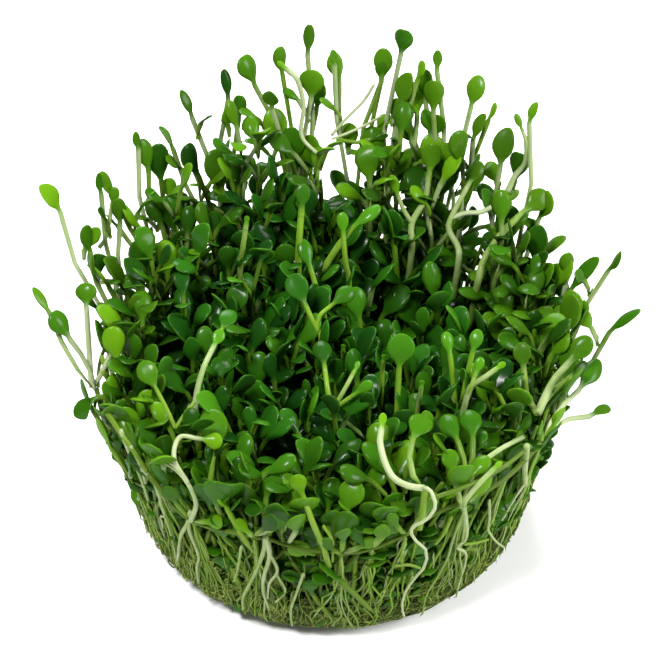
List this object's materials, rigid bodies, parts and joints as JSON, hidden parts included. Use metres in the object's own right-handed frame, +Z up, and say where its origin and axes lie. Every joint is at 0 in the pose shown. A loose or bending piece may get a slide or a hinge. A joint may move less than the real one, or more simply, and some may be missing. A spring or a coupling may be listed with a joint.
{
  "type": "mud mat plant",
  "caption": "Tapered plug of carpet plant: a matted root puck, runners with rootlets on its wall, and a dense crown of spoon-shaped leaves on slender stalks.",
  "frame": {"origin": "centre of the flat underside of the root mat", "axes": "+Z up through the leaves, -Y towards the front, +X to the right when seen from the front"},
  "size_m": [0.0791, 0.071, 0.0546],
  "materials": {
    "root_mat": "matted olive roots, damp, with pale fibres",
    "leaf": "wet, smooth and fleshy, deep green with paler stalks",
    "rim_leaf": "wet, smooth and fleshy, fresh green with lime to whitish stalks",
    "runner": "damp olive-green runner with pale greenish rootlets"
  },
  "bodies": {
    "root": {"root_mat": "root_mat", "tuft_01": "leaf", "tuft_02": "leaf", "tuft_03": "leaf", "tuft_04": "leaf", "tuft_05": "leaf", "tuft_06": "leaf", "tuft_07": "leaf", "tuft_08": "leaf", "tuft_09": "leaf", "tuft_10": "leaf", "tuft_11": "leaf", "tuft_12": "leaf", "tuft_13": "leaf", "tuft_14": "leaf", "tuft_15": "leaf", "tuft_16": "leaf", "tuft_17": "leaf", "tuft_18": "leaf", "tuft_19": "leaf", "tuft_20": "leaf", "tuft_21": "leaf", "tuft_22": "leaf", "tuft_23": "leaf", "tuft_24": "leaf", "tuft_25": "leaf", "tuft_26": "leaf", "tuft_27": "leaf", "tuft_28": "leaf", "rim_tuft_01": "rim_leaf", "rim_tuft_02": "rim_leaf", "rim_tuft_03": "rim_leaf", "rim_tuft_04": "rim_leaf", "rim_tuft_05": "rim_leaf", "rim_tuft_06": "rim_leaf", "rim_tuft_07": "rim_leaf", "rim_tuft_08": "rim_leaf", "rim_tuft_09": "rim_leaf", "rim_tuft_10": "rim_leaf", "rim_tuft_11": "rim_leaf", "rim_tuft_12": "rim_leaf", "rim_tuft_13": "rim_leaf", "rim_tuft_14": "rim_leaf", "rim_tuft_15": "rim_leaf", "rim_tuft_16": "rim_leaf", "rim_tuft_17": "rim_leaf", "rim_tuft_18": "rim_leaf", "runner_01": "runner", "runner_02": "runner", "runner_03": "runner", "runner_04": "runner", "runner_05": "runner", "runner_06": "runner", "runner_07": "runner", "runner_08": "runner"}
  },
  "joints": []
}
